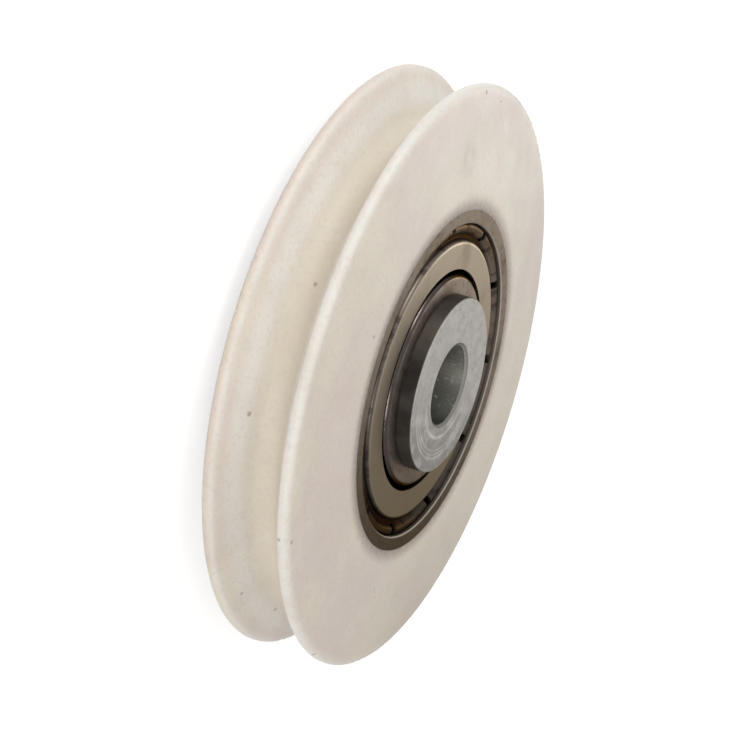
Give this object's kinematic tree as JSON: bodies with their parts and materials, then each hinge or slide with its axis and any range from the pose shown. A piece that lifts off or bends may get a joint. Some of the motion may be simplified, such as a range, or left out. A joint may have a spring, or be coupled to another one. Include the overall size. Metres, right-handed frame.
{
  "type": "grooved roller",
  "caption": "Grooved nylon roller on a shielded ball bearing, with a collared bush in each end for a bolt, to run on a rail, tube or rope.",
  "frame": {"origin": "on the roller's axis, in the middle plane of the groove and of the bearing", "axes": "+Z along the roller's axis, out of the front; the roller lies on its rear collar; +X and +Y are across it, with the first ball on +X"},
  "size_m": [0.0584, 0.0584, 0.0142],
  "materials": {
    "nylon": "ivory white moulded nylon, satin, slightly soiled",
    "ring_steel": "ground bearing steel",
    "shield_steel": "pressed sheet, slightly yellowed",
    "cage_steel": "pressed ribbon",
    "ball_steel": "polished",
    "bush_steel": "turned and zinc plated"
  },
  "bodies": {
    "hub": {"inner_ring": "ring_steel", "front_bush": "bush_steel", "rear_bush": "bush_steel"},
    "wheel": {"wheel": "nylon", "outer_ring": "ring_steel", "front_shield": "shield_steel", "rear_shield": "shield_steel"},
    "cage": {"cage_front": "cage_steel", "cage_rear": "cage_steel", "cage_rivet_1": "cage_steel", "cage_rivet_2": "cage_steel", "cage_rivet_3": "cage_steel", "cage_rivet_4": "cage_steel", "cage_rivet_5": "cage_steel", "cage_rivet_6": "cage_steel", "cage_rivet_7": "cage_steel", "cage_rivet_8": "cage_steel"},
    "ball_1": {"ball_1": "ball_steel"},
    "ball_2": {"ball_2": "ball_steel"},
    "ball_3": {"ball_3": "ball_steel"},
    "ball_4": {"ball_4": "ball_steel"},
    "ball_5": {"ball_5": "ball_steel"},
    "ball_6": {"ball_6": "ball_steel"},
    "ball_7": {"ball_7": "ball_steel"},
    "ball_8": {"ball_8": "ball_steel"}
  },
  "joints": [
    {"name": "wheel_spin", "type": "hinge", "parent": "hub", "child": "wheel", "pos_m": [0, 0, 0], "axis": [0, 0, 1], "continuous": true},
    {"name": "cage_spin", "type": "hinge", "parent": "hub", "child": "cage", "pos_m": [0, 0, 0], "axis": [0, 0, 1], "continuous": true},
    {"name": "ball_1_spin", "type": "hinge", "parent": "cage", "child": "ball_1", "pos_m": [0.0125, 0, 0], "axis": [0, 0, 1], "continuous": true},
    {"name": "ball_2_spin", "type": "hinge", "parent": "cage", "child": "ball_2", "pos_m": [0.00884, 0.00884, 0], "axis": [0, 0, 1], "continuous": true},
    {"name": "ball_3_spin", "type": "hinge", "parent": "cage", "child": "ball_3", "pos_m": [0, 0.0125, 0], "axis": [0, 0, 1], "continuous": true},
    {"name": "ball_4_spin", "type": "hinge", "parent": "cage", "child": "ball_4", "pos_m": [-0.00884, 0.00884, 0], "axis": [0, 0, 1], "continuous": true},
    {"name": "ball_5_spin", "type": "hinge", "parent": "cage", "child": "ball_5", "pos_m": [-0.0125, 0, 0], "axis": [0, 0, 1], "continuous": true},
    {"name": "ball_6_spin", "type": "hinge", "parent": "cage", "child": "ball_6", "pos_m": [-0.00884, -0.00884, 0], "axis": [0, 0, 1], "continuous": true},
    {"name": "ball_7_spin", "type": "hinge", "parent": "cage", "child": "ball_7", "pos_m": [0, -0.0125, 0], "axis": [0, 0, 1], "continuous": true},
    {"name": "ball_8_spin", "type": "hinge", "parent": "cage", "child": "ball_8", "pos_m": [0.00884, -0.00884, 0], "axis": [0, 0, 1], "continuous": true}
  ],
  "couplings": [
    {"joint": "cage_spin", "follows": "wheel_spin", "ratio": 0.6188},
    {"joint": "ball_1_spin", "follows": "wheel_spin", "ratio": 1.9856},
    {"joint": "ball_2_spin", "follows": "wheel_spin", "ratio": 1.9856},
    {"joint": "ball_3_spin", "follows": "wheel_spin", "ratio": 1.9856},
    {"joint": "ball_4_spin", "follows": "wheel_spin", "ratio": 1.9856},
    {"joint": "ball_5_spin", "follows": "wheel_spin", "ratio": 1.9856},
    {"joint": "ball_6_spin", "follows": "wheel_spin", "ratio": 1.9856},
    {"joint": "ball_7_spin", "follows": "wheel_spin", "ratio": 1.9856},
    {"joint": "ball_8_spin", "follows": "wheel_spin", "ratio": 1.9856}
  ]
}
